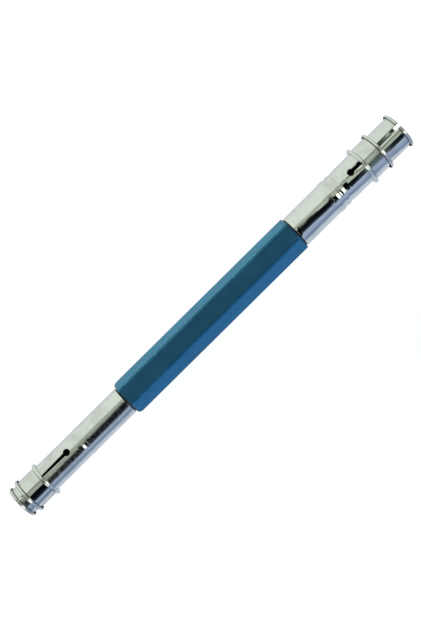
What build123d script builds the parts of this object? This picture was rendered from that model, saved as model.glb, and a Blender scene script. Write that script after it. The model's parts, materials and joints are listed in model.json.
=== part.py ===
"""Double-ended pencil extender: a painted hexagonal barrel with a split clamp tube at each end.

The axis of the whole object is X. The wide holder, for thicker pencils, points along +X and the narrow
holder along -X. Two of the barrel's flats face up and down. Within a holder, distances run out along the
axis from the barrel's shoulder, where the wood steps down to the tenon that carries the tube.
"""

import os
from dataclasses import dataclass

from build123d import *

# Driving dimensions, in millimetres and degrees

# Hexagonal barrel of painted wood
barrel_length = 60.0
barrel_across_flats = 8.9
barrel_edge_radius = 0.75
narrow_shoulder_radius = 0.7
wide_shoulder_bevel = 0.3
tenon_short_of_bead = 0.1

# Both clamp tubes
tube_wall = 0.35
tube_reach = 37.35
tube_gap = 0.25
tenon_clearance = 0.02
bead_half_wave = 0.95
rim_thickness = 0.75
rim_bevel = 0.22
mouth_bevel = 0.25
keyhole_diameter = 1.9

# Both clamp rings
ring_wall = 0.25
ring_clearance = 0.04
flange_thickness = 0.8
flange_bevel = 0.25
ring_lead_in = 0.15

# Narrow holder
narrow_bore = 7.3
narrow_bead_from_shoulder = 14.25
narrow_bead_waves = 1
narrow_bead_height = 0.07
narrow_rim_height = 0.55
narrow_keyhole_past_tenon = 3.7
narrow_slot_root_width = 0.7
narrow_slot_tip_width = 0.15
narrow_slot_roll = 8.0
narrow_ring_length = 6.85
narrow_flange_height = 0.68
narrow_ring_from_tip = 2.3

# Wide holder
wide_bore = 8.4
wide_bead_from_shoulder = 13.1
wide_bead_waves = 2
wide_bead_height = 0.1
wide_rim_height = 0.65
wide_keyhole_past_tenon = 3.5
wide_slot_root_width = 0.95
wide_slot_tip_width = 1.3
wide_slot_roll = 5.3
wide_ring_length = 6.3
wide_flange_height = 0.78
wide_ring_from_tip = 7.4

OUT_FOLDER = "parts"


@dataclass(frozen=True)
class Holder:
    """One end of the extender: a split tube on a tenon, and the ring that slides on it."""

    side: int
    bore: float
    bead_from_shoulder: float
    bead_waves: int
    bead_height: float
    rim_height: float
    keyhole_past_tenon: float
    slot_root_width: float
    slot_tip_width: float
    slot_roll: float
    ring_length: float
    flange_height: float
    ring_from_tip: float

    @property
    def bore_radius(self):
        return self.bore / 2

    @property
    def tube_radius(self):
        return self.bore_radius + tube_wall

    @property
    def rim_radius(self):
        return self.tube_radius + self.rim_height

    @property
    def ring_bore_radius(self):
        return self.tube_radius + ring_clearance

    @property
    def sleeve_radius(self):
        return self.ring_bore_radius + ring_wall

    @property
    def flange_radius(self):
        return self.sleeve_radius + self.flange_height

    @property
    def ridges(self):
        """Where each raised half-wave of the bead starts."""
        return [self.bead_from_shoulder + 2 * n * bead_half_wave for n in range(self.bead_waves)]

    @property
    def grooves(self):
        """Where each sunken half-wave of the bead starts."""
        return [ridge + bead_half_wave for ridge in self.ridges]

    @property
    def tenon_radius(self):
        return self.bore_radius - tenon_clearance

    @property
    def tenon_length(self):
        return self.grooves[-1] + bead_half_wave - tenon_short_of_bead

    @property
    def keyhole_from_shoulder(self):
        return self.tenon_length + self.keyhole_past_tenon

    @property
    def ring_start(self):
        """Inner end of the ring, from the shoulder."""
        return tube_reach - self.ring_from_tip - self.ring_length

    @property
    def section_plane(self):
        """Half-section through the axis: x runs out from the shoulder, y is the radius."""
        shoulder = (self.side * barrel_length / 2, 0, 0)
        return Plane(origin=shoulder, x_dir=(self.side, 0, 0), z_dir=(0, 0, self.side))

    @property
    def slot_plane(self):
        """Plane through the axis, square to the slots' own direction."""
        facing = Vector(0, 0, 1).rotate(Axis.X, -self.slot_roll)
        return Plane(origin=self.section_plane.origin, x_dir=(self.side, 0, 0), z_dir=facing)


narrow_holder = Holder(
    side=-1,
    bore=narrow_bore,
    bead_from_shoulder=narrow_bead_from_shoulder,
    bead_waves=narrow_bead_waves,
    bead_height=narrow_bead_height,
    rim_height=narrow_rim_height,
    keyhole_past_tenon=narrow_keyhole_past_tenon,
    slot_root_width=narrow_slot_root_width,
    slot_tip_width=narrow_slot_tip_width,
    slot_roll=narrow_slot_roll,
    ring_length=narrow_ring_length,
    flange_height=narrow_flange_height,
    ring_from_tip=narrow_ring_from_tip,
)
wide_holder = Holder(
    side=1,
    bore=wide_bore,
    bead_from_shoulder=wide_bead_from_shoulder,
    bead_waves=wide_bead_waves,
    bead_height=wide_bead_height,
    rim_height=wide_rim_height,
    keyhole_past_tenon=wide_keyhole_past_tenon,
    slot_root_width=wide_slot_root_width,
    slot_tip_width=wide_slot_tip_width,
    slot_roll=wide_slot_roll,
    ring_length=wide_ring_length,
    flange_height=wide_flange_height,
    ring_from_tip=wide_ring_from_tip,
)


def half_wave(start, base_radius, rise, mode):
    """One arched half-wave of the rolled bead, standing on a straight wall of the section."""
    end = start + bead_half_wave
    middle = start + bead_half_wave / 2
    with BuildLine() as arch:
        ThreePointArc((start, base_radius), (middle, base_radius + rise), (end, base_radius))
        Line((end, base_radius), (start, base_radius))
    make_face(arch.edges(), mode=mode)


def bite(start, base_radius, depth, mode):
    """Wedge of the bead that is pressed from the bore of the tube into the wood."""
    end = start + bead_half_wave
    middle = start + bead_half_wave / 2
    with BuildLine() as wedge:
        Polyline((start, base_radius), (middle, base_radius - depth), (end, base_radius), close=True)
    make_face(wedge.edges(), mode=mode)


def tenon_section(holder):
    """Half-section of a holder's tenon, grooved where the tube's bead is rolled into the wood."""
    half_length = barrel_length / 2
    with BuildSketch(holder.section_plane) as tenon:
        with Locations((-half_length, 0)):
            Rectangle(
                half_length + holder.tenon_length,
                holder.tenon_radius,
                align=(Align.MIN, Align.MIN),
            )
        for start in holder.grooves:
            bite(start, holder.tenon_radius, holder.bead_height, Mode.SUBTRACT)
    return tenon.sketch


def make_barrel():
    """Hexagonal wooden barrel with softened edges and a tenon at each end."""
    with BuildPart() as barrel:
        with BuildSketch(Plane.YZ) as hexagon:
            RegularPolygon(radius=barrel_across_flats / 2, side_count=6, major_radius=False)
            fillet(hexagon.vertices(), radius=barrel_edge_radius)
        extrude(amount=barrel_length / 2, both=True)
        fillet(barrel.edges().group_by(Axis.X)[0], radius=narrow_shoulder_radius)
        chamfer(barrel.edges().group_by(Axis.X)[-1], length=wide_shoulder_bevel)
        revolve(tenon_section(narrow_holder), axis=Axis.X)
        revolve(tenon_section(wide_holder), axis=Axis.X)
    return barrel.part


def make_tube(holder):
    """Split tube: rolled bead, curled rim, and a keyhole slot on each side that frees two jaws."""
    with BuildPart() as tube:
        with BuildSketch(holder.section_plane) as wall:
            with Locations((tube_gap, holder.bore_radius)):
                Rectangle(tube_reach - tube_gap, tube_wall, align=(Align.MIN, Align.MIN))
            with Locations((tube_reach, holder.bore_radius)):
                Rectangle(rim_thickness, tube_wall + holder.rim_height, align=(Align.MAX, Align.MIN))
            chamfer(wall.vertices().group_by(Axis.Y)[-1], length=rim_bevel)
            chamfer(wall.vertices().group_by(Axis.Y)[0].sort_by(Axis.X)[-1], length=mouth_bevel)
            for start in holder.ridges:
                half_wave(start, holder.tube_radius, holder.bead_height, Mode.ADD)
            for start in holder.grooves:
                half_wave(start, holder.tube_radius, -holder.bead_height, Mode.SUBTRACT)
                bite(start, holder.bore_radius, holder.bead_height, Mode.ADD)
        revolve(axis=Axis.X)
        with BuildSketch(holder.slot_plane):
            with Locations((holder.keyhole_from_shoulder, 0)):
                Circle(keyhole_diameter / 2)
            root = holder.keyhole_from_shoulder
            with BuildLine():
                Polyline(
                    (root, holder.slot_root_width / 2),
                    (tube_reach, holder.slot_tip_width / 2),
                    (tube_reach, -holder.slot_tip_width / 2),
                    (root, -holder.slot_root_width / 2),
                    close=True,
                )
            make_face()
        extrude(amount=holder.rim_radius, both=True, mode=Mode.SUBTRACT)
    return tube.part


def make_ring(holder):
    """Spool-shaped clamp ring: a thin sleeve between two rounded flanges."""
    with BuildPart() as ring:
        with BuildSketch(holder.section_plane) as section:
            with Locations((holder.ring_start, holder.ring_bore_radius)):
                Rectangle(holder.ring_length, ring_wall, align=(Align.MIN, Align.MIN))
                Rectangle(
                    flange_thickness,
                    ring_wall + holder.flange_height,
                    align=(Align.MIN, Align.MIN),
                )
            with Locations((holder.ring_start + holder.ring_length, holder.ring_bore_radius)):
                Rectangle(
                    flange_thickness,
                    ring_wall + holder.flange_height,
                    align=(Align.MAX, Align.MIN),
                )
            chamfer(section.vertices().group_by(Axis.Y)[-1], length=flange_bevel)
            chamfer(section.vertices().group_by(Axis.Y)[0], length=ring_lead_in)
        revolve(axis=Axis.X)
    return ring.part


pieces = {
    "hex_barrel": make_barrel(),
    "narrow_tube": make_tube(narrow_holder),
    "wide_tube": make_tube(wide_holder),
    "narrow_ring": make_ring(narrow_holder),
    "wide_ring": make_ring(wide_holder),
}

os.makedirs(OUT_FOLDER, exist_ok=True)
for label, piece in pieces.items():
    piece.label = label
    export_step(piece, f"{OUT_FOLDER}/{label}.step")
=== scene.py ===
"""Looks of a double-ended pencil extender: a lacquered wooden grip, two split tubes and two clamp rings.

Laid out as an add-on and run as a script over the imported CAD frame. Lengths are in metres, in the frame's
own axes: X runs along the extender, with the wide end at +X, and Z is up, square to a flat of the grip.
"""

import json
import math
from functools import partial
from types import SimpleNamespace

import bpy
import numpy as np
from bpy.props import FloatProperty, FloatVectorProperty, IntProperty, PointerProperty
from mathutils import Matrix, Vector


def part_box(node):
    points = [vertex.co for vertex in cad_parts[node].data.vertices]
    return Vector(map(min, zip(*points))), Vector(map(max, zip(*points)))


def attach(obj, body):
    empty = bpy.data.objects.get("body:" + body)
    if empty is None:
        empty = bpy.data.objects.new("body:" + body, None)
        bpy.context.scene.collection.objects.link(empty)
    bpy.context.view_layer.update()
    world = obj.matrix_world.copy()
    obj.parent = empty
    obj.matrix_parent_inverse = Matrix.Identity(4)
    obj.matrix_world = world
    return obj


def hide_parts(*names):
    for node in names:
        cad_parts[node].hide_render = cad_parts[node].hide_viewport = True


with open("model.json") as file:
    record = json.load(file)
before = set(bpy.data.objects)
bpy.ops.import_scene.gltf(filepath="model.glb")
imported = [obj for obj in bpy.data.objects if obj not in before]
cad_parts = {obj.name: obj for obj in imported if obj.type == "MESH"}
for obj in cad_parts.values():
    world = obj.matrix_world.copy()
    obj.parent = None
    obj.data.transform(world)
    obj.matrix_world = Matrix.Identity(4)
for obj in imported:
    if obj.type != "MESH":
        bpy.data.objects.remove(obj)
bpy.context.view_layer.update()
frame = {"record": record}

bl_info = {
    "name": "Pencil Extender",
    "version": (1, 0, 0),
    "blender": (4, 5, 0),
    "location": "View3D > Sidebar > Extender",
    "description": "Double-ended pencil extender with a lacquered grip, split clamp tubes and clamp rings",
    "category": "Add Mesh",
}

MM = 0.001
ENDS = {"narrow": -1, "wide": 1}
SHARP_ANGLE = math.radians(40)
BEAD_PLACES = "From the grip's shoulder to the rolled bead's start, to its crests and hollows, and to its end"
BEAD_HEIGHTS = "Height of the rolled bead over the plain tube at each of its places"

# Points along the arcs and runs of the sections
CUT_EDGE_POINTS = 5
RIM_POINTS = 9
FLANGE_POINTS = 11
KEYHOLE_POINTS = 25
JAW_POINTS = 30
PLAIN_POINTS = 12
BEAD_POINTS = 97
SHOULDER_POINTS = 9
EDGE_POINTS = 9
FLAT_POINTS = 12
BODY_POINTS = 62

# Camera, floor and lamps
IMAGE_HEIGHT = 631
SENSOR_WIDTH = 36.0
NEAR_CLIP = 0.01
FLOOR_REACH = 6.0
KEY_PLACE = (0.0, 0.785, 0.11)
FILL_PLACE = (0.0, -0.785, 0.13)
LAMP_SIZE = (0.8, 0.2)
WHITE = (1.0, 1.0, 1.0, 1.0)

# The cards that the metal mirrors. At each place along X, these are the turns at which the pale part of the
# grey card ends, the dark flag starts and ends, and the blue card is bright, middling and deep, in degrees
# from the camera's direction towards -Y. The line is the width of a dark line drawn beside the pale part.
# The plain tubes and the rings' sleeves mirror the places from 0.07 to 0.17 m to either side. Only flanges,
# rims and beads mirror from farther out.
FLAG_REACH = 0.225
SLEEVE_LOW, SLEEVE_HIGH = 0.131, 0.1445
CARD_COLUMNS = ("place", "pale_end", "line", "flag_start", "flag_end", "bright", "middle", "deep")
CARD_TURNS = (
    (-3.0, -23, 0, 26, 62, 72, 78, 83),
    (-0.85, -23, 0, 26, 62, 72, 78, 83),
    (-0.65, -23, 0, 20, 48, 66, 78, 83),
    (-FLAG_REACH, -23, 0, 20, 46, 66, 78, 83),
    (-0.215, -23, 0, -8, 46, 66, 78, 83),
    (-0.168, -23, 0, -8, 50, 68, 78, 83),
    (-0.16, -23, 7, 11, 58, 69, 78, 83),
    (-0.145, -23, 7, 9, 58, 69, 78, 83),
    (-0.141, -24, 0, 14.5, 50, 62, 75, 83.6),
    (-0.13, -24, 0, 15, 50.5, 62, 75, 83.6),
    (-0.115, -24, 0, 10.5, 52, 62, 75, 83.6),
    (-0.1, -24, 0, 4, 54, 62, 75, 83.3),
    (-0.078, -24, 0, 0, 53, 62, 75, 83),
    (-0.07, -24, 0, -9, 50, 62, 75, 83),
    (0.0, -24, 0, 2, 50, 62, 75, 83),
    (0.074, -26, 0, -18, 37.5, 57, 69, 79.5),
    (0.08, -25.5, 0, -13.5, 36, 56, 68, 79),
    (0.0892, -23, 0, 1, 43, 56.8, 68.4, 79.4),
    (0.102, -18.3, 0, 8.5, 44.5, 58, 69, 80),
    (0.119, -20.2, 0, 16.5, 49.5, 61.5, 74.3, 82.1),
    (SLEEVE_LOW, -20, 6, 10.5, 50, 64, 78, 83.6),
    (SLEEVE_HIGH, -21, 6, 10.5, 50, 64, 78, 83.6),
    (0.15, -20, 7, 21, 58, 76, 83.5, 83.6),
    (0.165, -20, 7, 21.5, 59, 76, 83.5, 83.6),
    (0.173, -20, 0, -8, 50, 70, 80, 83),
    (0.215, -20, 0, -8, 48, 70, 80, 83),
    (FLAG_REACH, -20, 0, 15, 48, 70, 80, 83),
    (0.65, -20, 0, 15, 50, 70, 80, 83),
    (0.85, -20, 0, 28, 62, 74, 80, 83),
    (3.0, -20, 0, 28, 62, 74, 80, 83),
)
GREY_FOOT, BLUE_FOOT = -110, 83.7
CARD_STEP = 0.05


def linear(code):
    """Linear colour of an sRGB hex code."""
    shown = np.array([int(code[i:i + 2], 16) for i in (1, 3, 5)]) / 255
    light = np.where(shown <= 0.04045, shown / 12.92, ((shown + 0.055) / 1.055) ** 2.4)
    return tuple(float(channel) for channel in light)


def length(name, description, millimetres):
    """A length that a user may change, given in millimetres and kept in metres."""
    return FloatProperty(
        name=name, description=description, default=millimetres * MM, min=0.0, unit="LENGTH", precision=5
    )


def lengths(name, description, *millimetres):
    """A row of lengths that a user may change, given in millimetres and kept in metres."""
    return FloatVectorProperty(
        name=name,
        description=description,
        default=[one * MM for one in millimetres],
        size=len(millimetres),
        unit="LENGTH",
        precision=5,
    )


def angle(name, description, degrees):
    """An angle that a user may change, given in degrees and kept in radians."""
    return FloatProperty(name=name, description=description, default=math.radians(degrees), unit="ROTATION")


def colour(name, description, code):
    """A colour that a user may change, given as an sRGB hex code."""
    return FloatVectorProperty(
        name=name, description=description, default=linear(code), subtype="COLOR", size=3, min=0.0, max=1.0
    )


def power(name, description, watts):
    """A lamp's power that a user may change."""
    return FloatProperty(name=name, description=description, default=watts, min=0.0, unit="POWER")


class EXTENDER_PG_grip(bpy.types.PropertyGroup):
    """Sizes and colours of the hexagonal grip."""

    edge_radius: length("Edge radius", "Rounding of the six long edges", 1.0)
    narrow_end_depth: length("Narrow end depth", "How deep the narrow end's shoulder is rounded in", 0.78)
    narrow_end_run: length("Narrow end run", "How far along the axis that rounding reaches", 1.4)
    wide_end_radius: length("Wide end radius", "Softened cut edge of the shoulder at the wide end", 0.3)
    tenon_clearance: length("Tenon clearance", "Play between a tenon and its tube", 0.02)
    paint: colour("Lacquer", "Colour of the lacquer", "#125C7B")
    worn_paint: colour("Worn lacquer", "Colour of the lacquer where the edges are rubbed thin", "#5D96AC")
    # Painted shade, with some soiling, darkens the gap between the grip and a tube in this colour
    seam: colour("Seam", "Colour of the dirt in the seam between the grip and a tube", "#080D10")
    wood: colour("Bare wood", "Colour of the unpainted tenons", "#C6A271")


class EXTENDER_PG_metal(bpy.types.PropertyGroup):
    """Sizes and colours that both tubes and both rings share."""

    tube_wall: length("Tube wall", "Thickness of the tubes' sheet metal", 0.35)
    tube_gap: length("Tube gap", "Gap between the grip's shoulder and the end of a tube", 0.25)
    cut_edge: length("Cut edge", "Rounding of a tube's cut end", 0.06)
    slot_edge: length("Slot edge", "Rounding of the edges of the keyhole slots", 0.035)
    rim_thickness: length("Rim thickness", "Thickness of the rim that is curled outward at the mouth", 0.75)
    rim_outer_radius: length("Rim outer radius", "Rounding of the curled rim's edge at the mouth", 0.5)
    rim_inner_radius: length("Rim inner radius", "Rounding of the curled rim's edge towards the grip", 0.2)
    rim_root_radius: length("Rim root radius", "Hollow where the rim leaves the tube", 0.12)
    mouth_radius: length("Mouth radius", "Rounding where the rim turns into the bore", 0.25)
    keyhole_diameter: length("Keyhole diameter", "Round hole that ends each slot", 1.9)
    ring_wall: length("Ring wall", "Thickness of a ring's sleeve", 0.25)
    ring_clearance: length("Ring clearance", "Play between a ring and its tube", 0.04)
    ring_lead_in: length("Ring lead-in", "Rounding of the edges of a ring's bore", 0.15)
    flange_thickness: length("Flange thickness", "Thickness of a ring's rolled flanges", 0.8)
    flange_outer_radius: length("Flange outer radius", "Rounding of a flange's edge at the ring's end", 0.5)
    flange_inner_radius: length("Flange inner radius", "Rounding of a flange's edge over the sleeve", 0.28)
    flange_root_radius: length("Flange root radius", "Hollow between a flange and the sleeve", 0.15)
    plating: colour("Plating", "Colour of the bright plating", "#D4DBD0")
    tarnish: colour("Tarnish", "Colour of the plating where it has dulled", "#C2C8BD")
    # Painted shade, with some real soiling, darkens the hollows beside rims and flanges in this colour
    grime_and_shade: colour("Grime", "Colour of the dirt in the hollows beside rims and flanges", "#2E332B")
    bore_metal: colour("Bore", "Colour of the dull metal inside the tubes, behind the mouth", "#4A4B47")
    columns: IntProperty(
        name="Columns", description="Faces around half of a tube", default=80, min=16, max=200
    )


class EXTENDER_PG_narrow_end(bpy.types.PropertyGroup):
    """Sizes of the narrow tube's bead and slots."""

    bead_places: lengths("Bead places", BEAD_PLACES, 14.03, 14.36, 14.9, 16.0, 16.9)
    bead_heights: lengths("Bead heights", BEAD_HEIGHTS, 0.0, 0.07, 0.07, -0.06, 0.0)
    keyhole_from_shoulder: length("Keyhole position", "From the grip's shoulder to the keyhole", 19.75)
    slot_root_width: length("Slot root width", "Width of a slot at its keyhole", 0.95)
    slot_tip_width: length("Slot tip width", "Width of a slot at the mouth", 0.2)
    slot_roll: angle("Slot roll", "Turn of the slots from straight up towards +Y", 9.2)
    pinch: length("Pinch", "How far the lower jaw's edges are pressed in along the slots", 0.0)


class EXTENDER_PG_wide_end(bpy.types.PropertyGroup):
    """Sizes of the wide tube's bead and slots."""

    bead_places: lengths("Bead places", BEAD_PLACES, 12.05, 12.75, 13.5, 14.5, 15.15, 15.45, 16.4, 17.9)
    bead_heights: lengths("Bead heights", BEAD_HEIGHTS, 0.0, 0.15, 0.15, -0.08, 0.11, 0.11, -0.15, 0.0)
    keyhole_from_shoulder: length("Keyhole position", "From the grip's shoulder to the keyhole", 20.3)
    slot_root_width: length("Slot root width", "Width of a slot at its keyhole", 0.95)
    slot_tip_width: length("Slot tip width", "Width of a slot at the mouth", 1.15)
    slot_roll: angle("Slot roll", "Turn of the slots from straight up towards +Y", 5.3)
    pinch: length("Pinch", "How far the lower jaw's edges are pressed in along the slots", 0.33)


class EXTENDER_PG_stage(bpy.types.PropertyGroup):
    """Camera, floor, lamps and the cards that the metal mirrors."""

    camera_distance: length("Camera distance", "From the middle of the grip to the camera", 350.0)
    camera_focal: FloatProperty(
        name="Camera focal length", description="Focal length in image pixels", default=1380.0, min=1.0
    )
    camera_roll: angle("Camera roll", "Turn of the camera about the extender, from above to -Y", 7.0)
    camera_turn: angle("Camera turn", "Angle of the extender across the image", 44.67)
    aim_up: length("Aim up", "Small move of the camera up the image", 0.18)
    card_distance: length("Card distance", "From the extender to the cards that the metal mirrors", 500.0)
    dome: FloatProperty(
        name="Dome", description="Brightness of the soft dome of light", default=0.14, min=0.0
    )
    key_power: power("Key lamp", "Power of the wide soft lamp at the upper left", 10.6)
    key_tint: colour("Key tint", "Colour of the lamp at the upper left", "#FBFFF0")
    fill_power: power("Fill lamp", "Power of the wide soft lamp at the lower right", 7.5)
    fill_tint: colour("Fill tint", "Colour of the lamp at the lower right", "#80DAFF")
    paper: colour("Floor paper", "Colour of the floor", "#F2F2F0")


def rounded_path(corners, radii, steps):
    """Open path through the corners, where each inner corner becomes an arc that touches both its runs.

    At a corner where the path turns by an angle, the arc of radius r starts r tan(angle / 2) before the
    corner, and its centre lies r / cos(angle / 2) from the corner on the line that halves it.
    """
    corners = np.asarray(corners, float)
    stretches = [corners[:1]]
    for before, corner, after, radius in zip(corners[:-2], corners[1:-1], corners[2:], radii):
        arrive = (corner - before) / np.linalg.norm(corner - before)
        leave = (after - corner) / np.linalg.norm(after - corner)
        turn = math.atan2(arrive[0] * leave[1] - arrive[1] * leave[0], arrive @ leave)
        halving = (leave - arrive) / np.linalg.norm(leave - arrive)
        centre = corner + halving * radius / math.cos(turn / 2)
        spoke = corner - arrive * radius * math.tan(abs(turn) / 2) - centre
        sweep = np.linspace(0, turn, steps)
        across = np.array([-spoke[1], spoke[0]])
        stretches.append(centre + np.outer(np.cos(sweep), spoke) + np.outer(np.sin(sweep), across))
    stretches.append(corners[-1:])
    return np.concatenate(stretches)


def turned(side, along, radius, angles):
    """Points of a section carried round the X axis.

    Along is the distance from the grip's middle, and an angle of 0 is straight up. The side, -1 or 1, is the
    end of the extender, and the -1 end is the +1 end turned half round about Z.
    """
    along, radius, angles = np.broadcast_arrays(along, radius, angles)
    return np.stack([side * along, side * radius * np.sin(angles), radius * np.cos(angles)], axis=-1)


def refined(path, longest):
    """The path with its long runs divided into equal steps, none over the given length."""
    runs = np.linalg.norm(np.diff(path, axis=0), axis=1)
    steps = np.ceil(runs / longest).astype(int)
    numbers = np.arange(steps.sum()) - np.repeat(np.cumsum(steps) - steps, steps)
    share = (numbers / np.repeat(steps, steps))[:, None]
    starts, ends = (np.repeat(points, steps, axis=0) for points in (path[:-1], path[1:]))
    return np.concatenate([starts * (1 - share) + ends * share, path[-1:]])


def grime_and_shade_mark(path, hollows, top):
    """How much soiling and painted shade lies at each point of a section: a bell curve about the wall over
    each hollow.

    The wall is darkened up to half the height from the hollow to the top.
    """
    spread, dirty_share = 0.18 * MM, 0.5
    hollows = np.asarray(hollows)
    foot = hollows[:, 1]
    nearest = np.clip(path[:, None, 1], foot, foot + dirty_share * (top - foot))
    distance = np.hypot(path[:, None, 0] - hollows[:, 0], path[:, None, 1] - nearest).min(axis=1)
    return np.exp(-((distance / spread) ** 2))


def quads(grid):
    """Four-sided faces between the neighbours of a grid of vertex numbers."""
    corners = grid[:-1, :-1], grid[1:, :-1], grid[1:, 1:], grid[:-1, 1:]
    return np.stack(corners, axis=-1).reshape(-1, 4)


def closed_columns(grid):
    """The grid with its first column repeated at the end, so that it closes round the axis."""
    return np.hstack([grid, grid[:, :1]])


def make_piece(name, points, faces, materials, finish=None, marks=None):
    """A mesh object at the origin, smooth up to sharp edges, with one material for each finish number."""
    mesh = bpy.data.meshes.new(name)
    corners = [face for group in faces for face in group.tolist()]
    mesh.from_pydata(points.reshape(-1, 3).tolist(), [], corners)
    if mesh.validate():
        raise RuntimeError(f"{name} has faulty faces")
    for material in materials:
        mesh.materials.append(material)
    if finish is not None:
        mesh.polygons.foreach_set("material_index", finish)
    for mark, values in (marks or {}).items():
        attribute = mesh.attributes.new(mark, "FLOAT", "POINT")
        attribute.data.foreach_set("value", values.astype(np.float32).ravel())
    mesh.shade_smooth()
    mesh.set_sharp_from_angle(angle=SHARP_ANGLE)
    piece = bpy.data.objects.new(name, mesh)
    bpy.context.scene.collection.objects.link(piece)
    return piece


def least_radius(name):
    """Radius of the largest circle about the X axis that stays inside the box of a CAD node."""
    low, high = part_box(name)
    return min(-low.y, -low.z, high.y, high.z)


def holder_sizes(end):
    """Sizes of one end of the extender, from the CAD frame and the settings."""
    scene = bpy.context.scene
    metal = scene.extender_metal
    own = getattr(scene, f"extender_{end}_end")
    socket = next(mount for mount in frame["record"]["mounts"] if mount["name"] == f"{end}_socket")
    tube_start, tube_tip = sorted(abs(corner.x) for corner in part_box(f"{end}_tube"))
    ring_start, ring_end = sorted(abs(corner.x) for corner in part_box(f"{end}_ring"))
    bore = socket["dims"]["r_mm"] * MM
    shoulder = tube_start - metal.tube_gap
    return SimpleNamespace(
        side=ENDS[end],
        bore=bore,
        outer=bore + metal.tube_wall,
        rim=least_radius(f"{end}_tube"),
        tube_start=tube_start,
        tube_tip=tube_tip,
        shoulder=shoulder,
        bead=shoulder + np.array(own.bead_places),
        keyhole=shoulder + own.keyhole_from_shoulder,
        ring_start=ring_start,
        ring_end=ring_end,
        ring_bore=bore + metal.tube_wall + metal.ring_clearance,
        sleeve=bore + metal.tube_wall + metal.ring_clearance + metal.ring_wall,
        flange=least_radius(f"{end}_ring"),
        own=own,
    )


def bead_rise(size, along):
    """Height of the rolled bead over the plain tube: half a cosine wave from each place to the next."""
    numbers = np.arange(len(size.bead))
    run = np.interp(along, size.bead, numbers)
    eased = np.floor(run) + (1 - np.cos(math.pi * (run % 1))) / 2
    return np.interp(eased, numbers, size.own.bead_heights)


def slot_half_width(size, along):
    """Half the slot's width: a circle at the keyhole or a straight taper to the mouth, the wider of both."""
    hole_radius = bpy.context.scene.extender_metal.keyhole_diameter / 2
    circle = np.sqrt(np.clip(hole_radius**2 - (along - size.keyhole) ** 2, 0, None))
    widths = (size.own.slot_root_width / 2, size.own.slot_tip_width / 2)
    taper = np.interp(along, (size.keyhole, size.tube_tip), widths)
    return np.where(along > size.keyhole, np.maximum(circle, taper), circle)


def pressed_in(size, along, angles):
    """How far the lower jaw is pressed in beside the slots.

    With u the distance round the tube from a slot's middle, into that jaw, and c the distance of the crease,
    the depth is the pinch times (c - u) / c, rounded at the crease. It falls off as a bell curve on the
    other jaw, wider before the keyhole, and rises smoothly along the axis towards the keyhole. The crease
    moves away from the slot towards the mouth.
    """
    rounding, spill, rise = (distance * MM for distance in (0.15, 0.35, 6.0))
    crease_from, crease_growth = 1.65, 0.35
    risen_at_keyhole, wider_before = 0.35, 4
    past = np.clip((along - size.keyhole) / (size.tube_tip - size.keyhole), 0, 1)
    crease = (crease_from + crease_growth * past) * MM
    turn = (angles - size.side * size.own.slot_roll) % (2 * math.pi)
    lower = np.minimum(2 * math.pi - turn, turn - math.pi)
    upper = -np.minimum(turn, math.pi - turn)
    u = size.outer * np.where(turn > math.pi, lower, upper)
    inward = crease - np.clip(u, 0, None)
    ramp = size.own.pinch * (inward + np.hypot(inward, rounding)) / (2 * crease)
    share = np.clip((along - size.keyhole) / rise + risen_at_keyhole, 0, 1)
    fall = spill * (1 + wider_before * (1 - share))
    return ramp * np.exp(-((np.clip(u, None, 0) / fall) ** 2)) * share**2 * (3 - 2 * share)


def tube_base_path(size):
    """Section of the unsplit part: down the bore, round the cut end, and out over the bead to the keyhole."""
    metal = bpy.context.scene.extender_metal
    low = size.keyhole - metal.keyhole_diameter / 2
    end = rounded_path(
        [(low, size.bore), (size.tube_start, size.bore), (size.tube_start, size.outer), (low, size.outer)],
        (metal.cut_edge, metal.cut_edge),
        CUT_EDGE_POINTS,
    )
    along = np.concatenate([
        np.linspace(size.tube_start, size.bead[0], PLAIN_POINTS)[1:-1],
        np.linspace(size.bead[0], size.bead[-1], BEAD_POINTS),
        np.linspace(size.bead[-1], low, PLAIN_POINTS)[1:],
    ])
    return np.concatenate([end[:-1], np.column_stack([along, size.outer + bead_rise(size, along)])])


def jaw_path(size):
    """Section of the split part: out to the curled rim, round it and back up the bore, in matching halves."""
    metal = bpy.context.scene.extender_metal
    hole_radius = metal.keyhole_diameter / 2
    opened = math.pi - math.asin(size.own.slot_root_width / 2 / hole_radius)
    round_hole = size.keyhole - hole_radius * np.cos(np.linspace(0, opened, KEYHOLE_POINTS)[1:])
    rim_back = size.tube_tip - metal.rim_thickness
    lip_start = rim_back - 2 * metal.rim_root_radius
    straight = np.concatenate([round_hole, np.linspace(round_hole[-1], lip_start, JAW_POINTS)[1:]])
    lip = rounded_path(
        [
            (lip_start, size.outer),
            (rim_back, size.outer),
            (rim_back, size.rim),
            (size.tube_tip, size.rim),
            (size.tube_tip, size.bore),
            (lip_start, size.bore),
        ],
        (metal.rim_root_radius, metal.rim_inner_radius, metal.rim_outer_radius, metal.mouth_radius),
        RIM_POINTS,
    )
    turning = 1 + 3 * RIM_POINTS + RIM_POINTS // 2
    lip_out, lip_in = lip[1:turning + 1], lip[turning + 1:-1]
    spare = len(lip_out) - len(lip_in)
    run = np.linspace(lip_in[-1, 0], lip_start, spare + 2)[1:-1]
    bore = np.concatenate([run, straight[::-1]])
    return np.concatenate([
        np.column_stack([straight, np.full_like(straight, size.outer)]),
        lip_out,
        lip_in,
        np.column_stack([bore, np.full_like(bore, size.bore)]),
    ])


def dull_bore(size, jaw):
    """How dull each point of a jaw's bore is: pencils polish it at the mouth, and that fades inwards."""
    polish, fade, start = 0.9, 3 * MM, 2.3
    polished = polish * np.clip((jaw[:, 0] - size.tube_tip) / fade + start, 0, 1)
    in_bore = np.arange(len(jaw)) > len(jaw) // 2 + 2
    return in_bore * (1 - polished)


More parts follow.
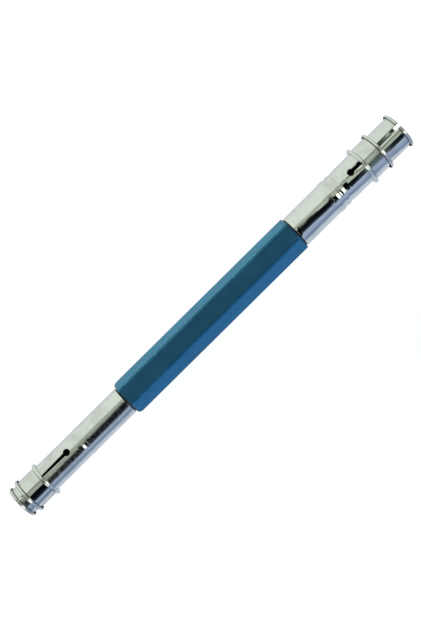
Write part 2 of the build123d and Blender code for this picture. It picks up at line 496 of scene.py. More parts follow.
def tube_surface(size, columns):
    """Points, faces and marks of a split tube.

    Both parts are the wall's closed section carried round the axis. In the unsplit part the angle runs all
    the way round. In a jaw it runs from one slot to the other: a point at a distance d from the slots'
    middle plane lies arcsin(d / radius) from it. On a slot's rounded edge of radius e, d is the slot's half
    width plus e(1 - sin t), and the point sinks by e(1 - cos t) along the section's normal. Flat walls join
    the edges of a slot, and small fans join them to the unsplit part. Where a jaw is pressed in, its radius
    is less by that much.
    """
    metal = bpy.context.scene.extender_metal
    base, jaw = tube_base_path(size), jaw_path(size)
    first_slot = size.side * size.own.slot_roll
    round_angles = first_slot + np.linspace(0, 2 * math.pi, 2 * columns + 1)[:-1]
    step = np.gradient(jaw, axis=0)
    normal = np.column_stack([-step[:, 1], step[:, 0]]) / np.linalg.norm(step, axis=1)[:, None]
    turn = np.radians((90, 60, 30, 0))
    rounded = len(turn)
    sunk = jaw[:, None] - metal.slot_edge * (1 - np.cos(turn))[:, None] * normal[:, None]
    away = slot_half_width(size, jaw[:, 0])[:, None] + metal.slot_edge * (1 - np.sin(turn))
    edge_angles = np.arcsin(away / sunk[..., 1])
    taken = edge_angles[:, -1:]
    share = np.linspace(0, 1, columns + 1)[1:-1]
    jaw_angles = first_slot + np.hstack([
        edge_angles,
        taken + share * (math.pi - 2 * taken),
        math.pi - edge_angles[:, ::-1],
    ])
    plain = np.repeat(jaw[:, None], columns - 1, axis=1)
    section = np.concatenate([sunk, plain, sunk[:, ::-1]], axis=1)
    along, radius = section[..., 0], section[..., 1]
    parts = []
    for x, r, angles in (
        (base[:, :1], base[:, 1:], round_angles),
        (along, radius, jaw_angles),
        (along, radius, jaw_angles + math.pi),
    ):
        parts.append(turned(size.side, x, r - pressed_in(size, x, angles), angles).reshape(-1, 3))
    points = np.concatenate(parts)
    base_grid = np.arange(len(base) * 2 * columns).reshape(len(base), -1)
    jaw_grids = base_grid.size + np.arange(2 * along.size).reshape(2, len(jaw), -1)
    faces = [quads(closed_columns(base_grid))]
    half = len(jaw) // 2 + 1
    for number, grid in enumerate(jaw_grids):
        joined = (number * columns + np.arange(columns + 1)) % (2 * columns)
        smooth = grid[:, rounded - 1:columns + rounded]
        faces.append(quads(np.vstack([base_grid[-1, joined], smooth, base_grid[0, joined]])))
        sides = ((grid[:, :rounded], 0, joined[0]), (grid[:, -rounded:], -1, joined[-1]))
        for edge, wall, corner in sides:
            outer, bore = base_grid[-1, corner], base_grid[0, corner]
            fan = np.full(rounded - 1, 1)
            faces.append(quads(edge))
            faces.append(np.column_stack([outer * fan, edge[0, :-1], edge[0, 1:]]))
            faces.append(np.column_stack([edge[-1, :-1], bore * fan, edge[-1, 1:]]))
            loop = np.concatenate([[outer], edge[:, wall], [bore]])
            strip = np.column_stack([loop[::-1][:half], loop[:half]])
            faces.append(quads(strip if wall == 0 else strip[:, ::-1]))
    # The hollow beside the rim gets soiling and painted shade
    hollows = [(size.tube_tip - metal.rim_thickness, size.outer)]
    marks = {}
    for name, on_base, on_jaw in (
        ("bore", base[:, 1] < (size.bore + size.outer) / 2, dull_bore(size, jaw)),
        ("grime_and_shade", grime_and_shade_mark(base, hollows, size.rim), grime_and_shade_mark(jaw, hollows, size.rim)),
    ):
        jaw_mark = np.tile(np.repeat(on_jaw, along.shape[1]), 2)
        marks[name] = np.concatenate([np.repeat(on_base, 2 * columns), jaw_mark])
    return points, faces, marks


def ring_surface(size, columns):
    """Points, faces and marks of a clamp ring: a closed spool section carried round the axis.

    The section goes from the middle of the bore round the rolled flanges and the sleeve back to its start.
    """
    metal = bpy.context.scene.extender_metal
    longest_face = 0.2 * MM
    thick = metal.flange_thickness
    start, end = size.ring_start, size.ring_end
    middle = (start + end) / 2
    corners = [
        (middle, size.ring_bore),
        (start, size.ring_bore),
        (start, size.flange),
        (start + thick, size.flange),
        (start + thick, size.sleeve),
        (end - thick, size.sleeve),
        (end - thick, size.flange),
        (end, size.flange),
        (end, size.ring_bore),
        (middle, size.ring_bore),
    ]
    half = (
        metal.ring_lead_in, metal.flange_outer_radius, metal.flange_inner_radius, metal.flange_root_radius
    )
    path = refined(rounded_path(corners, (*half, *half[::-1]), FLANGE_POINTS), longest_face)[:-1]
    angles = np.linspace(0, 2 * math.pi, columns + 1)[:-1]
    points = turned(size.side, path[:, :1], path[:, 1:], angles)
    grid = np.arange(len(path) * columns).reshape(len(path), -1)
    # The hollows beside the flanges get soiling and painted shade
    hollows = [corners[4], corners[5]]
    marks = {"grime_and_shade": np.repeat(grime_and_shade_mark(path, hollows, size.flange), columns)}
    return points, [quads(closed_columns(np.vstack([grid, grid[:1]])))], marks


def hexagon_outline(half_flats, edge_radius):
    """Points, outward normals and turns from the nearest corner round a hexagon with rounded corners.

    Two of its flats are square to Z. Each corner is an arc of 60 degrees about a centre on the corner's own
    line, and each flat is the straight run from one arc's end to the start of the next.
    """
    sixth, half = np.radians((60, 30))
    corner = sixth * np.arange(6)[:, None]
    arc = corner + np.radians(np.linspace(-30, 30, EDGE_POINTS))
    middle = (half_flats - edge_radius) / math.cos(half)
    arc_points = np.stack([
        middle * np.cos(corner) + edge_radius * np.cos(arc),
        middle * np.sin(corner) + edge_radius * np.sin(arc),
    ], axis=-1)
    share = np.linspace(0, 1, FLAT_POINTS)[1:-1, None]
    flat_points = arc_points[:, -1:] * (1 - share) + np.roll(arc_points[:, :1], -1, axis=0) * share
    flat = np.repeat(arc[:, -1:], len(share), axis=1)
    facing = np.concatenate([arc, flat], axis=1).ravel()
    points = np.concatenate([arc_points, flat_points], axis=1).reshape(-1, 2)
    normals = np.column_stack([np.cos(facing), np.sin(facing)])
    from_corner = np.abs((np.arctan2(points[:, 1], points[:, 0]) + half) % sixth - half)
    return points[::-1], normals[::-1], from_corner[::-1]


def grip_surface():
    """Points, faces, finish numbers and marks of the grip with its two tenons.

    The hexagon's outline is carried along X. At the ends it is drawn in along its own normals by
    d(1 - sin t), while X moves by l(1 - cos t), which rounds each shoulder with a quarter of an ellipse, and
    of a circle where the depth d and the run l are the same. The tenons are circles on the same columns, and
    each is closed by a fan about one point on the axis.
    """
    grip = bpy.context.scene.extender_grip
    fan_share = 0.6
    edge_wear, end_wear, seam_reach = np.radians(7), 0.5 * MM, 0.24 * MM
    low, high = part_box("hex_barrel")
    narrow, wide = holder_sizes("narrow"), holder_sizes("wide")
    outline, normal, from_corner = hexagon_outline(high.z, grip.edge_radius)
    count = len(outline)
    turn = np.linspace(0, math.pi / 2, SHOULDER_POINTS)
    start, end = -narrow.shoulder, wide.shoulder
    body = np.linspace(start + grip.narrow_end_run, end - grip.wide_end_radius, BODY_POINTS)[1:-1]
    x = np.concatenate([
        start + grip.narrow_end_run * (1 - np.cos(turn)),
        body,
        end - grip.wide_end_radius * (1 - np.cos(turn[::-1])),
    ])
    inset = np.concatenate([
        grip.narrow_end_depth * (1 - np.sin(turn)),
        np.zeros_like(body),
        grip.wide_end_radius * (1 - np.sin(turn[::-1])),
    ])
    hexagon = np.concatenate([
        np.broadcast_to(x[:, None, None], (len(x), count, 1)),
        outline - inset[:, None, None] * normal,
    ], axis=-1)
    circle = outline / np.linalg.norm(outline, axis=1)[:, None]
    collar = 2 * (narrow.tube_start - narrow.shoulder)
    narrow_tenon = np.array([(low.x, fan_share), (low.x, 1.0), (start - collar, 1.0), (start, 1.0)])
    wide_tenon = np.array([(end, 1.0), (end + collar, 1.0), (high.x, 1.0), (high.x, fan_share)])
    tenons = []
    for tenon, size in ((narrow_tenon, narrow), (wide_tenon, wide)):
        tenons.append(np.concatenate([
            np.broadcast_to(tenon[:, :1, None], (len(tenon), count, 1)),
            tenon[:, 1:, None] * (size.bore - grip.tenon_clearance) * circle,
        ], axis=-1))
    rows = np.concatenate([tenons[0], hexagon, tenons[1]])
    poles = np.array([(low.x, 0, 0), (high.x, 0, 0)])
    grid = closed_columns(np.arange(len(rows) * count).reshape(len(rows), -1))
    first, last = grid.max() + 1, grid.max() + 2
    fans = [
        np.column_stack([np.full(count, first), grid[0, :-1], grid[0, 1:]]),
        np.column_stack([np.full(count, last), grid[-1, 1:], grid[-1, :-1]]),
    ]
    band = np.repeat(np.arange(len(rows) - 1), count)
    bare = (band < len(narrow_tenon) - 2) | (band > len(rows) - len(wide_tenon))
    finish = np.concatenate([bare.astype(int), np.ones(2 * count, int)])
    at_edge = np.exp(-((from_corner / edge_wear) ** 2))
    to_end = np.clip(np.minimum(rows[..., 0] - start, end - rows[..., 0]), 0, None)
    # At the shoulders, one mark is rubbed wear and the other is painted shade, with some soiling, in the gap
    # beside each tube
    at_end, seam_dirt_and_shade_mark = (np.exp(-((to_end / reach) ** 2)) for reach in (end_wear, seam_reach))
    marks = {
        "wear": np.append(np.maximum(at_edge, at_end).ravel(), (0, 0)),
        "seam": np.append(seam_dirt_and_shade_mark.ravel(), (0, 0)),
    }
    return np.concatenate([rows.reshape(-1, 3), poles]), [quads(grid), *fans], finish, marks


def node(tree, kind, inputs=(), **settings):
    """Adds a shader node with its settings and gives its outputs.

    The inputs are in the node's own order, or under their names or numbers. Each is a number, a colour or
    the output that it is linked from.
    """
    made = tree.nodes.new(f"ShaderNode{kind}")
    for name, value in settings.items():
        setattr(made, name, value)
    for key, value in inputs.items() if isinstance(inputs, dict) else enumerate(inputs):
        if isinstance(value, bpy.types.NodeSocket):
            tree.links.new(value, made.inputs[key])
        else:
            made.inputs[key].default_value = value
    return made.outputs


def new_material(name):
    """An empty node material, the function that adds its nodes, and its object coordinates."""
    material = bpy.data.materials.new(name)
    material.use_nodes = True
    material.node_tree.nodes.clear()
    add = partial(node, material.node_tree)
    return material, add, add("TexCoord")["Object"]


def plated_steel(name, turned_lines, hazed, mottled):
    """Bright nickel plating on thin steel sheet, as formed and buffed.

    To the eye: a mirror with a faint warm cast, slightly wavy, with fine working lines, patches of dulled
    plating, small pits, and soiling with painted shade in the hollows. The tubes are drawn, so their lines
    run along the axis. The rings are spun, so theirs run round it. Handling hazes some pieces more than
    others, evenly or in specks.
    """
    metal = bpy.context.scene.extender_metal
    material, add, place = new_material(name)
    line_pitch, line_run, cloud, pit, wave, mottle = (size * MM for size in (0.25, 14, 5, 0.42, 9, 0.9))
    wave_depth, line_depth, pit_depth = (depth * MM for depth in (0.06, 0.0004, 0.001))
    dull_haze, pit_haze, bore_haze, dirt_haze = 0.025, 0.03, 0.3, 0.1
    if turned_lines:
        x, y, z = add("SeparateXYZ", (place,))
        square_y, square_z = (add("Math", (part, 2.0), operation="POWER")[0] for part in (y, z))
        squares = add("Math", (square_y, square_z), operation="ADD")[0]
        radius = add("Math", (squares,), operation="SQRT")[0]
        across = add("CombineXYZ", (x, radius))[0]
        stretch = (1 / line_pitch, 1 / line_pitch, 1.0)
    else:
        across = place
        stretch = (1 / line_run, 1 / line_pitch, 1 / line_pitch)
    # Working lines are finer than a tenth of a millimetre; they are drawn at a quarter to show at all
    stretched = add("Mapping", {"Vector": across, "Scale": stretch})[0]
    lines = add("TexNoise", {"Vector": stretched, "Scale": 1.0, "Detail": 2.0})[0]
    clouds = add("TexNoise", {"Vector": place, "Scale": 1 / cloud, "Detail": 4.0, "Roughness": 0.6})[0]
    dulled = add("MapRange", (clouds, 0.48, 0.72))[0]
    to_pit = add("TexVoronoi", {"Vector": place, "Scale": 1 / pit})[0]
    pits = add("MapRange", (to_pit, 0.26, 0.12))[0]
    pitted = add("Math", (pits, dulled), operation="MULTIPLY")[0]
    specks = add("TexNoise", {"Vector": place, "Scale": 1 / mottle, "Detail": 3.0})[0]
    dusty = add("MapRange", (specks, 0.4, 0.65, 1 - mottled, 1 + mottled))[0]
    inside = add("Attribute", attribute_name="bore")["Fac"]
    # The hollows' mark: soiling and painted shade, made uneven by the specks
    hollow = add("Attribute", attribute_name="grime_and_shade")["Fac"]
    uneven = add("MapRange", (specks, 0.3, 0.7, 0.7, 1.0))[0]
    dirty_and_shaded = add("Math", (hollow, uneven), operation="MULTIPLY")[0]

    body = (*metal.plating, 1.0)
    for mark, tint in ((dulled, metal.tarnish), (inside, metal.bore_metal), (dirty_and_shaded, metal.grime_and_shade)):
        body = add("Mix", {0: mark, 6: body, 7: (*tint, 1.0)}, data_type="RGBA")[2]

    gloss = add("MapRange", (lines, 0.3, 0.7, 0.02, 0.06))[0]
    for mark, haze in (
        (dusty, hazed),
        (dulled, dull_haze),
        (pitted, pit_haze),
        (inside, bore_haze),
        (dirty_and_shaded, dirt_haze),
    ):
        gloss = add("Math", (mark, haze, gloss), operation="MULTIPLY_ADD")[0]

    waves = add("TexNoise", {"Vector": place, "Scale": 1 / wave, "Detail": 1.0})[0]
    wavy = add("Bump", {"Distance": wave_depth, "Height": waves})[0]
    lined = add("Bump", {"Distance": line_depth, "Height": lines, "Normal": wavy})[0]
    sunk = add("Bump", {"Distance": pit_depth, "Height": pitted, "Normal": lined}, invert=True)[0]
    shader = add(
        "BsdfPrincipled", {"Base Color": body, "Metallic": 1.0, "Roughness": gloss, "Normal": sunk}
    )[0]
    add("OutputMaterial", {"Surface": shader})
    return material


def lacquered_wood():
    """Satin blue lacquer, brushed on a planed wooden hexagon.

    To the eye: an even petrol blue with the wood's grain showing faintly through as long fine streaks, small
    pale specks of dust in the coat, edges and ends that are rubbed lighter, and painted shade with some
    soiling in the seams beside the tubes.
    """
    grip = bpy.context.scene.extender_grip
    material, add, place = new_material("satin_lacquer_on_wood")
    sizes = (0.45, 9, 3.5, 0.55, 0.5, 0.8)
    grain_width, grain_run, patch, speck, chip, peel = (size * MM for size in sizes)
    peel_depth, grain_depth, speck_height = (depth * MM for depth in (0.004, 0.008, 0.01))
    stretch = (1 / grain_run, 1 / grain_width, 1 / grain_width)
    stretched = add("Mapping", {"Vector": place, "Scale": stretch})[0]
    grain = add("TexNoise", {"Vector": stretched, "Scale": 1.0, "Detail": 3.0})[0]
    patches = add("TexNoise", {"Vector": place, "Scale": 1 / patch, "Detail": 3.0})[0]
    cells = add("TexVoronoi", {"Vector": place, "Scale": 1 / speck})
    dots = add("MapRange", (cells["Distance"], 0.2, 0.1))[0]
    rare = add("MapRange", (cells["Color"], 0.55, 0.75))[0]
    specks = add("Math", (dots, rare), operation="MULTIPLY")[0]
    worn_mark = add("Attribute", attribute_name="wear")["Fac"]
    dirt_and_shade = add("Attribute", attribute_name="seam")["Fac"]

    tone = add("MapRange", (grain, 0.3, 0.7, 0.86, 1.12))[0]
    tone_patch = add("MapRange", (patches, 0.3, 0.7, 0.93, 1.07))[0]
    value = add("Math", (tone, tone_patch), operation="MULTIPLY")[0]
    coat = add("HueSaturation", {"Value": value, "Color": (*grip.paint, 1.0)})[0]
    flakes = add("TexNoise", {"Vector": place, "Scale": 1 / chip, "Detail": 2.0})[0]
    rubbing = add("MapRange", (flakes, 0.57, 0.7, 0.0, 0.8))[0]
    rubbed_patch = add("MapRange", (patches, 0.5, 0.62))[0]
    chipped = add("Math", (rubbing, rubbed_patch), operation="MULTIPLY")[0]
    worn = add("Math", (worn_mark, chipped), operation="MULTIPLY")[0]
    pale = add("Math", (specks, 0.55), operation="MULTIPLY")[0]
    lightened = add("Math", (worn, pale), operation="MAXIMUM")[0]
    rubbed = add("Mix", {0: lightened, 6: coat, 7: (*grip.worn_paint, 1.0)}, data_type="RGBA")[2]
    # Painted shade, with some soiling, darkens the lacquer in the gap beside each tube
    body = add("Mix", {0: dirt_and_shade, 6: rubbed, 7: (*grip.seam, 1.0)}, data_type="RGBA")[2]

    gloss = add("MapRange", (patches, 0.3, 0.7, 0.34, 0.46))[0]
    peels = add("TexNoise", {"Vector": place, "Scale": 1 / peel, "Detail": 1.0})[0]
    rippled = add("Bump", {"Distance": peel_depth, "Height": peels})[0]
    grained = add("Bump", {"Distance": grain_depth, "Height": grain, "Normal": rippled})[0]
    raised = add("Bump", {"Distance": speck_height, "Height": specks, "Normal": grained})[0]
    shader = add(
        "BsdfPrincipled",
        {"Base Color": body, "Roughness": gloss, "Normal": raised, "Specular IOR Level": 0.3},
    )[0]
    add("OutputMaterial", {"Surface": shader})
    return material


def bare_wood():
    """Turned hardwood, left bare on the tenons.

    To the eye: pale and matt, with fine rings on the end and streaks along it.
    """
    grip = bpy.context.scene.extender_grip
    material, add, place = new_material("turned_bare_hardwood")
    ring_width, ring_run, ring_depth = 0.7 * MM, 12 * MM, 0.02 * MM
    stretch = (1 / ring_run, 1 / ring_width, 1 / ring_width)
    stretched = add("Mapping", {"Vector": place, "Scale": stretch})[0]
    grain = add("TexNoise", {"Vector": stretched, "Scale": 1.0, "Detail": 5.0, "Distortion": 0.6})[0]
    tone = add("MapRange", (grain, 0.3, 0.7, 0.7, 1.1))[0]
    body = add("HueSaturation", {"Value": tone, "Color": (*grip.wood, 1.0)})[0]
    ridged = add("Bump", {"Distance": ring_depth, "Height": grain})[0]
    shader = add("BsdfPrincipled", {"Base Color": body, "Roughness": 0.75, "Normal": ridged})[0]
    add("OutputMaterial", {"Surface": shader})
    return material


def floor_paper():
    """Matt white paper: plain, with a part of its white fixed, so that the extender's shadow stays faint.

    The camera sees most of that fixed white. The metal mirrors less of it, so that it shows the shaded paper.
    """
    material, add, _ = new_material("matt_white_paper")
    glow, seen_share, mirrored_share = 1.15, 0.84, 0.3
    paper = (*bpy.context.scene.extender_stage.paper, 1.0)
    matt = add("BsdfDiffuse", {"Color": paper})[0]
    white = add("Emission", {"Color": WHITE, "Strength": glow})[0]
    rays = add("LightPath")
    mirrored = add("Math", (rays["Is Glossy Ray"], rays["Is Transmission Ray"]), operation="MAXIMUM")[0]
    dimmed = add("Math", (mirrored, mirrored_share), operation="MULTIPLY")[0]
    share = add("Math", (rays["Is Camera Ray"], seen_share, dimmed), operation="MULTIPLY_ADD")[0]
    mixed = add("MixShader", (share, matt, white))[0]
    add("OutputMaterial", {"Surface": mixed})
    return material


def card_paint():
    """Even colour of a studio card, taken from the card's own colour attribute."""
    material, add, _ = new_material("studio_card")
    tint = add("Attribute", attribute_name="tint")["Color"]
    glow = add("Emission", {"Color": tint})[0]
    add("OutputMaterial", {"Surface": glow})
    return material


def soft_dome(strength):
    """World with a soft dome of light.

    Rays from the camera, from a mirror or through glass see a plain white background instead.
    """
    world = bpy.data.worlds.new("soft_dome")
    world.use_nodes = True
    world.node_tree.nodes.clear()
    add = partial(node, world.node_tree)
    dome = add("Background", {"Color": WHITE, "Strength": strength})[0]
    backdrop = add("Background", {"Color": WHITE})[0]
    rays = add("LightPath")
    mirrored = add("Math", (rays["Is Camera Ray"], rays["Is Glossy Ray"]), operation="MAXIMUM")[0]
    direct = add("Math", (mirrored, rays["Is Transmission Ray"]), operation="MAXIMUM")[0]
    mixed = add("MixShader", (direct, dome, backdrop))[0]
    add("OutputWorld", {"Surface": mixed})
    return world


def photo_camera():
    """Camera in the photograph's place: above the extender, rolled about it and turned across the image."""
    stage = bpy.context.scene.extender_stage
    back = Vector((0, -math.sin(stage.camera_roll), math.cos(stage.camera_roll)))
    side = Vector((0, math.cos(stage.camera_roll), math.sin(stage.camera_roll)))
    along = Vector((1, 0, 0))
    right = math.cos(stage.camera_turn) * along - math.sin(stage.camera_turn) * side
    up = math.sin(stage.camera_turn) * along + math.cos(stage.camera_turn) * side
    camera = bpy.data.objects.new("camera", bpy.data.cameras.new("camera"))
    camera.data.sensor_width = SENSOR_WIDTH
    camera.data.lens = SENSOR_WIDTH * stage.camera_focal / IMAGE_HEIGHT
    camera.data.clip_start = NEAR_CLIP
    place = back * stage.camera_distance + up * stage.aim_up
    turn = Matrix((right, up, back)).transposed().to_4x4()
    camera.matrix_world = Matrix.Translation(place) @ turn
    bpy.context.scene.collection.objects.link(camera)
    return camera


def floor_height():
    """The floor's height along X: it touches the lowest flange at each end, so it leans a little."""
    narrow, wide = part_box("narrow_ring"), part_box("wide_ring")
    narrow_x, wide_x = (sum(corner.x for corner in box) / 2 for box in (narrow, wide))
    lean = (wide[0].z - narrow[0].z) / (wide_x - narrow_x)
    return lambda along: narrow[0].z + lean * (along - narrow_x)


def between(x, places, row):
    """Values of a row at x, which change evenly from each place to the next; one number counts for all."""
    return np.interp(x, places, np.broadcast_to(row, len(places)))


def studio_card(name, points, tints, material):
    """A card on a grid of points with a tint at each, which only mirrors show."""
    rows, columns = points.shape[:2]
    card = make_piece(name, points, [quads(np.arange(rows * columns).reshape(rows, columns))], [material])
    shown = np.concatenate([tints, np.ones((rows, columns, 1))], axis=2)
    attribute = card.data.attributes.new("tint", "FLOAT_COLOR", "POINT")
    attribute.data.foreach_set("color", shown.astype(np.float32).ravel())
    card.visible_camera = False
    card.visible_diffuse = False
    card.visible_shadow = False
    return card


def bent_card(name, places, turns, tints, material, levels=1.0):
    """A card bent round the X axis, for the metal to mirror.

    Its points lie at one distance from the axis. Each row has a tint and its turn, in degrees from the
    camera's direction towards -Y, at each of the given places along X. A place may also have its own level
    of the tints. Between the places, turns and levels change evenly.
    """
    stage = bpy.context.scene.extender_stage
    x = refined(np.column_stack([places, np.zeros_like(places)]), CARD_STEP)[:, 0]
    turn = np.radians([between(x, places, row) for row in turns]) + stage.camera_roll
    across, up = -stage.card_distance * np.sin(turn), stage.card_distance * np.cos(turn)
    points = np.stack([np.broadcast_to(x, turn.shape), across, up], axis=-1)
    level = between(x, places, levels)
    return studio_card(name, points, level[:, None] * np.asarray(tints)[:, None], material)


def floor_card(name, side, floor, places, distances, tints, material):
    """A card just over the floor on one side of the extender, dark beyond the extender's ends.

    Each row has a tint and its distance from the axis, in millimetres, at each of the given places along X.
    Under the rings and the mouths, the inner edge is dark up to a short distance: a painted shadow of the
    extender, which only mirrors show.
    """
    over, reach = 0.1 * MM, 1.3
    fade_places, fade_levels = (0.06, 0.09, 0.25, reach), (1.0, 0.9, 0.1, 0.1)
    shaded = (-reach, -0.0592, -0.0578, 0.0528, 0.0545, reach)
    wide_shadow, thin_shadow, shadow_edge = 5.9, 0.1, 0.3
    # The black rows are a painted shadow of the extender on the mirrored floor
    black = (0.02, 0.02, 0.02)
    x = np.union1d(places, (*np.negative(fade_places), *fade_places, *shaded))
    widths = (wide_shadow, wide_shadow, thin_shadow, thin_shadow, wide_shadow, wide_shadow)
    shadow = np.interp(x, shaded, widths)
    rows = [0 * x, shadow, shadow + shadow_edge, *(between(x, places, row) for row in distances)]
    y = side * MM * np.array(rows)
    points = np.stack([np.broadcast_to(x, y.shape), y, np.broadcast_to(floor(x) + over, y.shape)], axis=-1)
    level = np.interp(np.abs(x), fade_places, fade_levels)
    tints = np.array([black, black, *tints])
    return studio_card(name, points, level[:, None] * tints[:, None], material)


def hang_flags(turns, card):
    """Dark flag over the extender, in three parts: the one over the wide ring's sleeve is hazy."""
    low_share = 0.4
    flag_low = low_share * turns.flag_start + (1 - low_share) * turns.flag_end
    black = [(0.002, 0.003, 0.004), (0.003, 0.005, 0.008), (0.045, 0.055, 0.08)]
    hazy = [(0.09, 0.15, 0.16), (0.30, 0.42, 0.45), (0.32, 0.43, 0.48)]
    for name, first, last, tints in (
        ("dark_flag", -FLAG_REACH, SLEEVE_LOW, black),
        ("hazy_flag", SLEEVE_LOW, SLEEVE_HIGH, hazy),
        ("far_dark_flag", SLEEVE_HIGH, FLAG_REACH, black),
    ):
        part = (turns.place >= first) & (turns.place <= last)
        rows = (turns.flag_start[part], flag_low[part], turns.flag_end[part])
        bent_card(name, turns.place[part], rows, tints, card)


def hang_grey_cards(turns, card):
    """Grey card before the extender for each end, up to the flag, pale below and dark far to the sides.

    From the pale part to the flag, its rows are the dark line where there is one, a short dip, and a band of
    even grey that is softened beside the flag. Where that room is narrow, dip and softening shrink with it.
    """
    most_dip, dip_share, past_dips = 2, 8, 2.5
    most_soft, soft_share = 6, 4
    fade_places = (0.09, 0.12, 0.15, 0.24, 0.48, 0.85, 1.2, 3.0)
    fade_levels = (1.0, 0.95, 0.93, 0.92, 0.9, 0.75, 0.1, 0.05)
    places = np.union1d(turns.place, (*np.negative(fade_places), *fade_places))
    levels = np.interp(np.abs(places), fade_places, fade_levels)
    pale_end, line, start = (
        np.interp(places, turns.place, row) for row in (turns.pale_end, turns.line, turns.flag_start)
    )
    near = pale_end + line
    room = start - near
    dip, soft = np.minimum(most_dip, room / dip_share), np.minimum(most_soft, room / soft_share)
    past = near + past_dips * dip
    rows = np.array(np.broadcast_arrays(
        GREY_FOOT,
        pale_end - 1,
        pale_end,
        pale_end + line / 2,
        near,
        near + dip,
        past,
        (past + start - soft) / 2,
        start - soft,
        start,
    ))
    pale = [(0.97, 1.0, 0.97), (0.97, 1.0, 0.97), (0.62, 0.64, 0.56), (0.08, 0.09, 0.07)]
    narrow_greys = [(0.50, 0.52, 0.46), (0.38, 0.40, 0.35), (0.48, 0.51, 0.46)]
    narrow_greys += [(0.52, 0.55, 0.51), (0.50, 0.54, 0.52), (0.38, 0.41, 0.40)]
    wide_greys = [(0.46, 0.49, 0.44), (0.36, 0.385, 0.335), (0.50, 0.535, 0.48)]
    wide_greys += [(0.64, 0.68, 0.62), (0.66, 0.71, 0.66), (0.50, 0.54, 0.52)]
    for name, half, greys in (
        ("narrow_grey_card", places <= 0, narrow_greys),
        ("wide_grey_card", places >= 0, wide_greys),
    ):
        bent_card(name, places[half], rows[:, half], pale + greys, card, levels=levels[half])


def hang_cards(floor):
    """Cards round the extender that its metal mirrors.

    A dark flag stands over the extender, two grey cards before it and a blue one behind it. Far to the
    sides, bright panels take the flag's place and the grey cards are dark, so that the flanges and rims
    spark and get their dark lines. On the floor, the cards carry a painted shadow under the extender and
    painted shade close beside it.
    """
    card = card_paint()
    turns = SimpleNamespace(**dict(zip(CARD_COLUMNS, np.array(CARD_TURNS).T)))
    hang_flags(turns, card)
    hang_grey_cards(turns, card)
    blue_reach = 1.0
    blues = [(0.48, 0.55, 0.80), (0.46, 0.53, 0.79), (0.36, 0.43, 0.70), (0.22, 0.285, 0.49)]
    bent_card(
        "blue_card",
        np.clip(turns.place, -blue_reach, blue_reach),
        (turns.flag_end, turns.bright, turns.middle, turns.deep, BLUE_FOOT),
        [*blues, blues[-1]],
        card,
    )
    floor_card(
        "blue_floor_card",
        -1,
        floor,
        (-0.068, -0.062, -0.03, 0.03, 0.05, 0.056, 0.063, 0.067),
        (
            (12.5, 12.5, 12.5, 20, 20, 13, 13, 9.5),
            (20, 35, 35, 55, 55, 28, 28, 14),
            (30, 60, 60, 80, 80, 58, 58, 20.5),
            (480, 480, 480, 480, 480, 480, 480, 33),
            (490, 490, 490, 490, 490, 490, 490, 85),
            500,
        ),
        [
            # The nearest tint is darker: painted shade on the mirrored floor beside the extender
            (0.68, 0.73, 0.90),
            (0.74, 0.80, 1.0),
            (0.35, 0.42, 0.65),
            (0.23, 0.29, 0.50),
            (0.34, 0.41, 0.67),
            (0.42, 0.50, 0.77),
            (0.42, 0.50, 0.77),
        ],
        card,
    )
    floor_card(
        "pale_floor_card",
        1,
        floor,
        (-1.0, 1.0),
        (9, 30, 500),
        # The tints nearest the extender are darker: painted shade on the mirrored floor beside it
        [(0.60, 0.63, 0.68), (0.78, 0.80, 0.88), (0.94, 0.96, 0.98), (1.0, 1.0, 1.0)],
        card,
    )
    panel = [(2.6, 2.6, 2.6)] * 2
    for name, part in (
        ("narrow_bright_panel", turns.place <= -FLAG_REACH),
        ("wide_bright_panel", turns.place >= FLAG_REACH),
    ):
        bent_card(name, turns.place[part], (turns.flag_start[part], turns.flag_end[part]), panel, card)


def soft_lamp(name, place, watts, tint):
    """A rectangular soft lamp that faces the middle of the extender and isn't mirrored in its metal."""
    light = bpy.data.lights.new(name, "AREA")
    light.color = tint
    light.shape = "RECTANGLE"
    light.size, light.size_y = LAMP_SIZE
    light.energy = watts
    lamp = bpy.data.objects.new(name, light)
    facing = Vector(place).to_track_quat("Z", "Y").to_matrix().to_4x4()
    lamp.matrix_world = Matrix.Translation(place) @ facing
    lamp.visible_glossy = False
    bpy.context.scene.collection.objects.link(lamp)


class EXTENDER_OT_grip(bpy.types.Operator):
    """Builds the lacquered hexagonal grip with its bare tenons"""

    bl_idname = "extender.grip"
    bl_label = "Grip"

    def execute(self, context):
        points, faces, finish, marks = grip_surface()
        materials = [lacquered_wood(), bare_wood()]
        piece = make_piece("grip", points, faces, materials, finish=finish, marks=marks)
        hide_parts("hex_barrel")
        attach(piece, "holder")
        return {"FINISHED"}


class EXTENDER_OT_tubes(bpy.types.Operator):
    """Builds the two split clamp tubes"""

    bl_idname = "extender.tubes"
    bl_label = "Clamp tubes"

    def execute(self, context):
        hazed = {"narrow": 0.12, "wide": 0.02}
        for end in ENDS:
            name = f"bright_nickel_on_drawn_steel_{end}"
            material = plated_steel(name, turned_lines=False, hazed=hazed[end], mottled=0.3)
            columns = context.scene.extender_metal.columns
            points, faces, marks = tube_surface(holder_sizes(end), columns)
            piece = make_piece(f"{end}_clamp_tube", points, faces, [material], marks=marks)
            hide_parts(f"{end}_tube")
            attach(piece, "holder")
        return {"FINISHED"}


class EXTENDER_OT_rings(bpy.types.Operator):
    """Builds the two flanged clamp rings"""

    bl_idname = "extender.rings"
    bl_label = "Clamp rings"

    def execute(self, context):
        hazed = {"narrow": 0.0, "wide": 0.1}
        for end in ENDS:
            name = f"bright_nickel_on_spun_steel_{end}"
            material = plated_steel(name, turned_lines=True, hazed=hazed[end], mottled=0.12)
            columns = 2 * context.scene.extender_metal.columns
            points, faces, marks = ring_surface(holder_sizes(end), columns)
            piece = make_piece(f"{end}_clamp_ring", points, faces, [material], marks=marks)
            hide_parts(f"{end}_ring")
            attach(piece, f"{end}_ring")
        return {"FINISHED"}


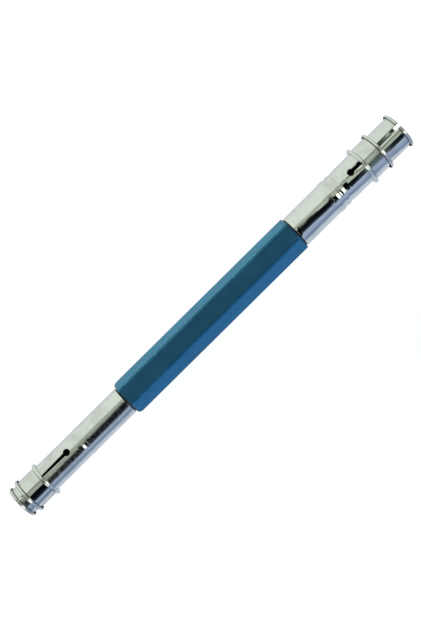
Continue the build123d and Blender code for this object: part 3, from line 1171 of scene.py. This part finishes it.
class EXTENDER_OT_stage(bpy.types.Operator):
    """Sets the camera, the pale floor, the soft lamps and the cards that the metal mirrors"""

    bl_idname = "extender.stage"
    bl_label = "Stage"

    def execute(self, context):
        scene = context.scene
        stage = scene.extender_stage
        scene.camera = photo_camera()

        height = floor_height()
        reach = np.linspace(-FLOOR_REACH, FLOOR_REACH, 3)
        x, y = np.meshgrid(reach, reach, indexing="ij")
        points = np.stack([x, y, height(x)], axis=-1)
        floor = make_piece("floor", points, [quads(np.arange(x.size).reshape(x.shape))], [floor_paper()])

        hang_cards(height)
        soft_lamp("key_lamp", KEY_PLACE, stage.key_power, stage.key_tint)
        soft_lamp("fill_lamp", FILL_PLACE, stage.fill_power, stage.fill_tint)
        scene.world = soft_dome(stage.dome)
        scene.view_settings.view_transform = "Standard"
        return {"FINISHED"}


class EXTENDER_PT_panel(bpy.types.Panel):
    """Lists the extender's pieces and its stage"""

    bl_idname = "EXTENDER_PT_panel"
    bl_label = "Pencil extender"
    bl_space_type = "VIEW_3D"
    bl_region_type = "UI"
    bl_category = "Extender"

    def draw(self, context):
        for operator in OPERATORS:
            self.layout.operator(operator.bl_idname)


SETTINGS = {
    "extender_grip": EXTENDER_PG_grip,
    "extender_metal": EXTENDER_PG_metal,
    "extender_narrow_end": EXTENDER_PG_narrow_end,
    "extender_wide_end": EXTENDER_PG_wide_end,
    "extender_stage": EXTENDER_PG_stage,
}
OPERATORS = (EXTENDER_OT_grip, EXTENDER_OT_tubes, EXTENDER_OT_rings, EXTENDER_OT_stage)
CLASSES = (*SETTINGS.values(), *OPERATORS, EXTENDER_PT_panel)


def register():
    """Adds the settings, the operators and the panel to Blender."""
    for made in CLASSES:
        bpy.utils.register_class(made)
    for name, group in SETTINGS.items():
        setattr(bpy.types.Scene, name, PointerProperty(type=group))


def unregister():
    """Takes out what register added."""
    for name in SETTINGS:
        delattr(bpy.types.Scene, name)
    for made in reversed(CLASSES):
        bpy.utils.unregister_class(made)


def main():
    """Builds every piece and the stage."""
    register()
    bpy.ops.extender.grip()
    bpy.ops.extender.tubes()
    bpy.ops.extender.rings()
    bpy.ops.extender.stage()


if __name__ == "__main__":
    main()
